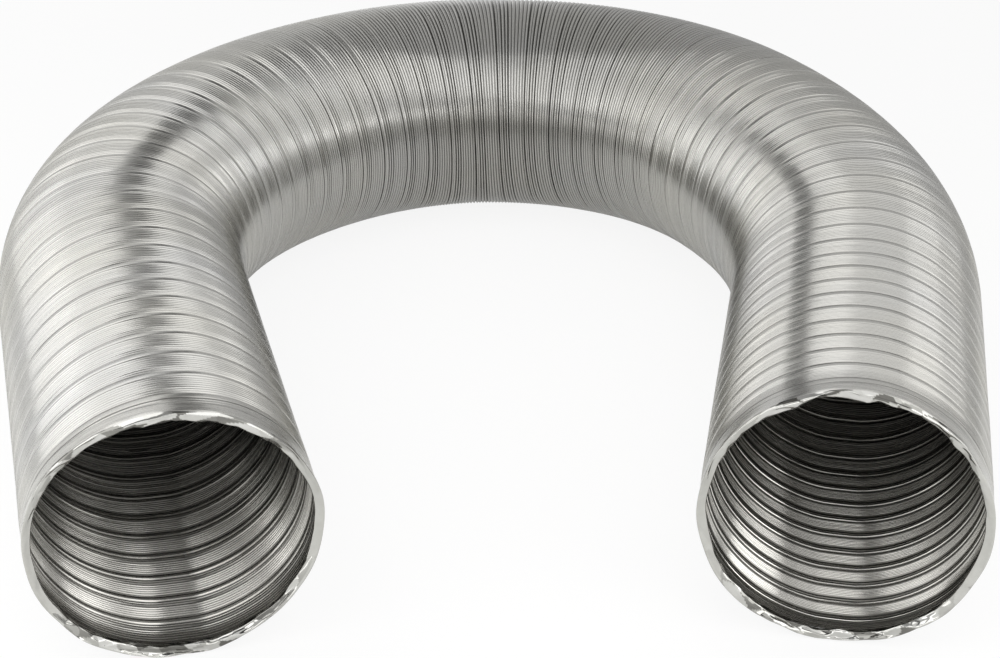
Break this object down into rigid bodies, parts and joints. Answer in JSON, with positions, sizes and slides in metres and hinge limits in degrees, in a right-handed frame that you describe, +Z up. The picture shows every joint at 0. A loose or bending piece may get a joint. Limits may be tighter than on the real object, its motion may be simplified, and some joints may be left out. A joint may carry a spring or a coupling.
{
  "type": "flexible air duct",
  "caption": "Semi-rigid aluminium air duct wound from a corrugated strip with a spiral lock seam, laid in a horseshoe bend with a folded lip at each open mouth.",
  "frame": {"origin": "on the ground in the middle of the duct's footprint as it lies bent", "axes": "+Z up, +Y from the mouths towards the crown of the bend, +X to the right seen from the mouths"},
  "size_m": [0.5262, 0.5797, 0.1305],
  "materials": {
    "duct_wall": "bright rolled foil, finely corrugated",
    "pleats": "bright rolled foil, finely corrugated",
    "folded_lip": "bright rolled foil, folded and creased"
  },
  "bodies": {
    "crown": {"crown_section": "duct_wall", "left_pleats_1": "pleats", "right_pleats_1": "pleats"},
    "left_1": {"left_section_1": "duct_wall", "left_pleats_2": "pleats"},
    "left_2": {"left_section_2": "duct_wall", "left_pleats_3": "pleats"},
    "left_3": {"left_section_3": "duct_wall", "left_pleats_4": "pleats"},
    "left_4": {"left_section_4": "duct_wall", "left_lift_pleats": "pleats"},
    "left_ring": {"left_leg_ring": "duct_wall", "left_stretch_pleats": "pleats"},
    "left_mouth": {"left_mouth_section": "duct_wall", "left_mouth_lip": "folded_lip"},
    "right_1": {"right_section_1": "duct_wall", "right_pleats_2": "pleats"},
    "right_2": {"right_section_2": "duct_wall", "right_pleats_3": "pleats"},
    "right_3": {"right_section_3": "duct_wall", "right_pleats_4": "pleats"},
    "right_4": {"right_section_4": "duct_wall", "right_lift_pleats": "pleats"},
    "right_ring": {"right_leg_ring": "duct_wall", "right_stretch_pleats": "pleats"},
    "right_mouth": {"right_mouth_section": "duct_wall", "right_mouth_lip": "folded_lip"}
  },
  "joints": [
    {"name": "left_bend_1", "type": "hinge", "parent": "crown", "child": "left_1", "pos_m": [-0.05295, 0.21509, 0.065], "axis": [0, 0, 1], "range_deg": [-26, 8], "deforming": ["left_pleats_1"]},
    {"name": "left_bend_2", "type": "hinge", "parent": "left_1", "child": "left_2", "pos_m": [-0.14883, 0.14388, 0.065], "axis": [0, 0, 1], "range_deg": [-26, 8], "deforming": ["left_pleats_2"]},
    {"name": "left_bend_3", "type": "hinge", "parent": "left_2", "child": "left_3", "pos_m": [-0.19458, 0.04118, 0.065], "axis": [0, 0, 1], "range_deg": [-26, 8], "deforming": ["left_pleats_3"]},
    {"name": "left_bend_4", "type": "hinge", "parent": "left_3", "child": "left_4", "pos_m": [-0.18975, -0.06099, 0.065], "axis": [0, 0, 1], "range_deg": [-26, 8], "deforming": ["left_pleats_4"]},
    {"name": "left_lift", "type": "hinge", "parent": "left_4", "child": "left_ring", "pos_m": [-0.17164, -0.13364, 0.065], "axis": [-0.9703, -0.2419, 0], "range_deg": [0, 20], "deforming": ["left_lift_pleats"]},
    {"name": "left_stretch", "type": "slide", "parent": "left_ring", "child": "left_mouth", "axis": [0.2419, -0.9703, 0], "range_m": [-0.012, 0.03], "deforming": ["left_stretch_pleats"]},
    {"name": "right_bend_1", "type": "hinge", "parent": "crown", "child": "right_1", "pos_m": [0.04438, 0.22022, 0.065], "axis": [0, 0, 1], "range_deg": [-8, 26], "deforming": ["right_pleats_1"]},
    {"name": "right_bend_2", "type": "hinge", "parent": "right_1", "child": "right_2", "pos_m": [0.14389, 0.15568, 0.065], "axis": [0, 0, 1], "range_deg": [-8, 26], "deforming": ["right_pleats_2"]},
    {"name": "right_bend_3", "type": "hinge", "parent": "right_2", "child": "right_3", "pos_m": [0.19027, 0.05284, 0.065], "axis": [0, 0, 1], "range_deg": [-8, 26], "deforming": ["right_pleats_3"]},
    {"name": "right_bend_4", "type": "hinge", "parent": "right_3", "child": "right_4", "pos_m": [0.19605, -0.04959, 0.065], "axis": [0, 0, 1], "range_deg": [-8, 26], "deforming": ["right_pleats_4"]},
    {"name": "right_lift", "type": "hinge", "parent": "right_4", "child": "right_ring", "pos_m": [0.18353, -0.1234, 0.065], "axis": [-0.9848, 0.1736, 0], "range_deg": [0, 20], "deforming": ["right_lift_pleats"]},
    {"name": "right_stretch", "type": "slide", "parent": "right_ring", "child": "right_mouth", "axis": [-0.1736, -0.9848, 0], "range_m": [-0.012, 0.03], "deforming": ["right_stretch_pleats"]}
  ]
}
